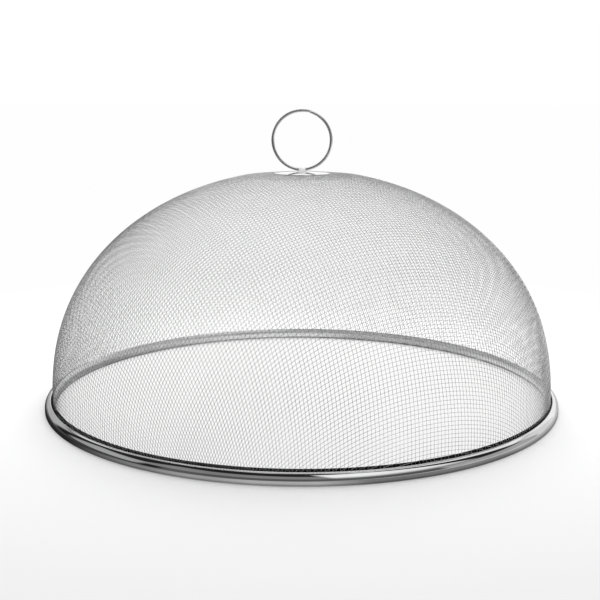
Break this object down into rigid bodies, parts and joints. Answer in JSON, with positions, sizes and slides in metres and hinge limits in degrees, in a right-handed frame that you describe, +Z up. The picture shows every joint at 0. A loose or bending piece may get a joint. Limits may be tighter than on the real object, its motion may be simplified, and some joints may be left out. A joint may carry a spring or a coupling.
{
  "type": "buffet food cover dome",
  "caption": "Woven steel mesh dome in a rolled steel rim, with a folding wire ring handle on a crown rosette; stands over a plate to keep insects off food.",
  "frame": {"origin": "centre of the face that the rim rests on", "axes": "+Z up along the dome's axis to the ring handle, front of the cover towards -Y, the upright ring lies in the XZ plane"},
  "size_m": [0.35, 0.35, 0.1966],
  "materials": {
    "mesh_wire": "satin",
    "polished_rim": "polished",
    "polished_cap": "polished",
    "ring_wire": "gloss",
    "plain_steel": "satin"
  },
  "bodies": {
    "cover": {"mesh_dome": "mesh_wire", "outer_rim": "polished_rim", "inner_band": "polished_rim", "rim_wire": "plain_steel", "rosette": "polished_cap", "backing_washer": "plain_steel", "ring_strap": "plain_steel"},
    "ring": {"handle_ring": "ring_wire"}
  },
  "joints": [
    {"name": "ring_fold", "type": "hinge", "parent": "cover", "child": "ring", "pos_m": [0, 0, 0.15659], "axis": [1, 0, 0], "range_deg": [-93.5, 93.5]}
  ]
}
